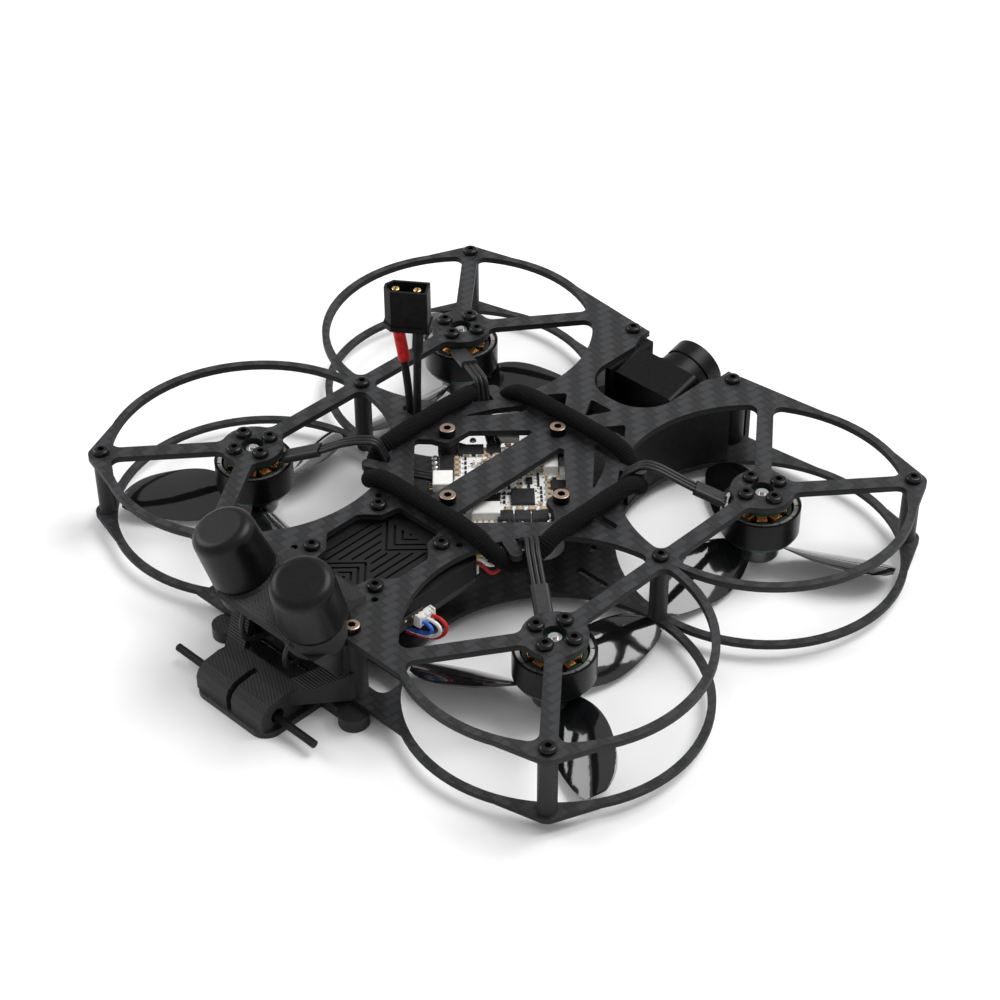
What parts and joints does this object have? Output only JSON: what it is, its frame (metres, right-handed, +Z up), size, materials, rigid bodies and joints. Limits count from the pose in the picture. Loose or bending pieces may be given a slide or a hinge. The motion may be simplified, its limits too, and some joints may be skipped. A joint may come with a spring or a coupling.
{
  "type": "ducted quadcopter drone",
  "caption": "Compact ducted racing quadcopter with carbon plates, pusher propellers, tilting nose camera, twin video antennas, elastic battery strap and a battery plug.",
  "frame": {"origin": "on the top face of the upper plate, midway between the four motor axes", "axes": "+Z up, -Y toward the camera, +X toward the left side of the craft"},
  "size_m": [0.1644, 0.1559, 0.0556],
  "materials": {
    "carbon": "satin woven carbon laminate",
    "black_anodised": "knurled black anodised",
    "black_steel": "black oxide steel",
    "bronze_steel": "bronze plated steel",
    "soft_rubber": "soft black rubber",
    "white_board": "white solder mask",
    "component_body": "moulded component",
    "cream_plastic": "moulded nylon",
    "case_finish": "black anodised heat sink",
    "board_edge": "glass-fibre board",
    "wire_insulation": "silicone insulation",
    "green_anodised": "dark green anodised",
    "winding": "enamelled copper",
    "bell_finish": "black anodised",
    "magnet_metal": "nickel plated",
    "steel": "ground steel",
    "propeller_plastic": "glossy polycarbonate",
    "lead_sheath": "black silicone",
    "black_plastic": "moulded nylon",
    "camera_plastic": "fine-textured plastic",
    "lens": "coated glass",
    "printed_plastic": "layered flexible print",
    "cap_plastic": "fine matte moulding",
    "strap_fabric": "woven elastic",
    "plug_plastic": "moulded nylon",
    "gold_contact": "gold plated",
    "red_sleeve": "heat-shrink sleeve"
  },
  "bodies": {
    "airframe": {"top_plate": "carbon", "bottom_plate": "carbon", "standoffs": "black_anodised", "button_screws": "black_steel", "motor_screws": "black_steel", "stack_screws": "bronze_steel", "grommets": "soft_rubber", "flight_controller": "white_board", "controller_parts": "component_body", "controller_sockets": "cream_plastic", "vtx_case": "case_finish", "vtx_board": "board_edge", "vtx_plugs": "cream_plastic", "vtx_harness": "wire_insulation", "camera_mount": "black_plastic", "antenna_mount": "printed_plastic", "rear_clamp": "printed_plastic", "antenna_cap_left": "cap_plastic", "antenna_cap_right": "cap_plastic", "antenna_leads": "lead_sheath", "receiver_antenna": "black_plastic", "battery_strap": "strap_fabric", "battery_plug": "plug_plastic", "plug_pins": "gold_contact", "battery_lead_positive": "lead_sheath", "battery_lead_negative": "lead_sheath", "lead_shrink": "red_sleeve", "lead_shrink_negative": "lead_sheath", "motor_leads_front_left": "lead_sheath", "motor_base_front_left": "green_anodised", "stator_front_left": "winding", "motor_leads_rear_left": "lead_sheath", "motor_base_rear_left": "green_anodised", "stator_rear_left": "winding", "motor_leads_rear_right": "lead_sheath", "motor_base_rear_right": "green_anodised", "stator_rear_right": "winding", "motor_leads_front_right": "lead_sheath", "motor_base_front_right": "green_anodised", "stator_front_right": "winding"},
    "rotor_front_left": {"bell_front_left": "bell_finish", "magnets_front_left": "magnet_metal", "shaft_front_left": "steel", "propeller_front_left": "propeller_plastic"},
    "rotor_rear_left": {"bell_rear_left": "bell_finish", "magnets_rear_left": "magnet_metal", "shaft_rear_left": "steel", "propeller_rear_left": "propeller_plastic"},
    "rotor_rear_right": {"bell_rear_right": "bell_finish", "magnets_rear_right": "magnet_metal", "shaft_rear_right": "steel", "propeller_rear_right": "propeller_plastic"},
    "rotor_front_right": {"bell_front_right": "bell_finish", "magnets_front_right": "magnet_metal", "shaft_front_right": "steel", "propeller_front_right": "propeller_plastic"},
    "camera": {"camera_case": "camera_plastic", "lens_barrel": "camera_plastic", "lens_glass": "lens", "camera_screws": "black_steel"}
  },
  "joints": [
    {"name": "front_left_spin", "type": "hinge", "parent": "airframe", "child": "rotor_front_left", "pos_m": [0.0478, -0.0342, -0.01], "axis": [0, 0, 1], "continuous": true},
    {"name": "rear_left_spin", "type": "hinge", "parent": "airframe", "child": "rotor_rear_left", "pos_m": [0.0478, 0.0342, -0.01], "axis": [0, 0, 1], "continuous": true},
    {"name": "rear_right_spin", "type": "hinge", "parent": "airframe", "child": "rotor_rear_right", "pos_m": [-0.0478, 0.0342, -0.01], "axis": [0, 0, 1], "continuous": true},
    {"name": "front_right_spin", "type": "hinge", "parent": "airframe", "child": "rotor_front_right", "pos_m": [-0.0478, -0.0342, -0.01], "axis": [0, 0, 1], "continuous": true},
    {"name": "camera_tilt", "type": "hinge", "parent": "airframe", "child": "camera", "pos_m": [0, -0.0548, -0.0095], "axis": [-1, 0, 0], "range_deg": [-15, 25]}
  ]
}
